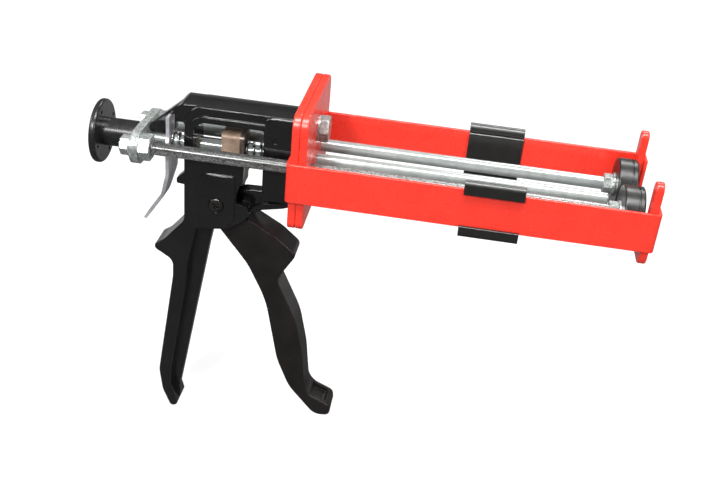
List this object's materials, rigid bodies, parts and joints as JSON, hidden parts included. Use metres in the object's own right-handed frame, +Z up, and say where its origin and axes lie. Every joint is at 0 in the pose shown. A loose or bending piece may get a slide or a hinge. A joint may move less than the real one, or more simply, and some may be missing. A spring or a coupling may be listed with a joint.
{
  "type": "caulking gun",
  "caption": "Hand dispensing gun for a side-by-side cartridge pair: open flat-bar cradle, rods with pistons joined by a yoke and pull knob, squeeze trigger and thumb release.",
  "frame": {"origin": "centre of the cartridge seat: on the front face of the front cradle plate, midway between the two push rod axes and level with them", "axes": "+X along the rods towards the nozzle end, +Y to the user's left, +Z up, away from the handle"},
  "size_m": [0.4041, 0.1072, 0.2908],
  "materials": {
    "casting_black": "gloss",
    "trigger_black": "satin",
    "cradle_red": "gloss",
    "zinc_rod": "bright",
    "zinc_plate": "satin",
    "lever_steel": "satin",
    "copper_steel": "satin",
    "spring_steel": "bright",
    "bush_brass": "satin",
    "screw_steel": "satin",
    "plastic_black": "satin",
    "clip_black": "gloss",
    "knob_black": "satin"
  },
  "bodies": {
    "gun_body": {"body_casting": "casting_black", "rear_cradle_plate": "cradle_red", "front_cradle_plate": "cradle_red", "nose_plate": "cradle_red", "right_cradle_strip": "cradle_red", "left_cradle_strip": "cradle_red", "right_guide_clip": "clip_black", "left_guide_clip": "clip_black", "cradle_bolts": "zinc_plate", "bolt_washers": "zinc_plate", "rear_guide_bush": "bush_brass", "front_guide_bush": "bush_brass", "pivot_screw": "screw_steel", "pivot_sleeve": "screw_steel"},
    "trigger": {"trigger_lever": "trigger_black", "trigger_roller": "screw_steel", "roller_pin": "screw_steel"},
    "drive_stack": {"grip_plates": "copper_steel", "spring_plate": "zinc_plate", "drive_spring": "spring_steel"},
    "rod_set": {"drive_rod": "zinc_rod", "right_push_rod": "zinc_rod", "left_push_rod": "zinc_rod", "yoke_plate": "zinc_plate", "rod_washers": "zinc_plate", "rod_end_nuts": "zinc_plate", "jam_nuts": "zinc_plate", "piston_nuts": "zinc_plate", "piston_washers": "zinc_plate", "right_piston": "plastic_black", "left_piston": "plastic_black", "pull_knob": "knob_black", "knob_insert": "bush_brass"},
    "release_catch": {"release_lever": "lever_steel", "catch_spring": "spring_steel"}
  },
  "joints": [
    {"name": "trigger_squeeze", "type": "hinge", "parent": "gun_body", "child": "trigger", "pos_m": [-0.0703, 0, -0.0425], "axis": [0, 1, 0], "range_deg": [0, 27], "stiffness_Nm_per_rad": 1.6, "springref_deg": -17.19},
    {"name": "drive_advance", "type": "slide", "parent": "gun_body", "child": "drive_stack", "axis": [1, 0, 0], "range_m": [0, 0.0109], "deforming": ["drive_spring"]},
    {"name": "rods_slide", "type": "slide", "parent": "gun_body", "child": "rod_set", "axis": [-1, 0, 0], "range_m": [0, 0.2]},
    {"name": "release_press", "type": "hinge", "parent": "gun_body", "child": "release_catch", "pos_m": [-0.1088, 0, 0.0195], "axis": [0, -1, 0], "range_deg": [0, 5.2], "stiffness_Nm_per_rad": 0.4, "springref_deg": -6.88, "deforming": ["catch_spring"]}
  ],
  "couplings": [
    {"joint": "drive_advance", "follows": "trigger_squeeze", "m_per_rad": 0.02302}
  ]
}
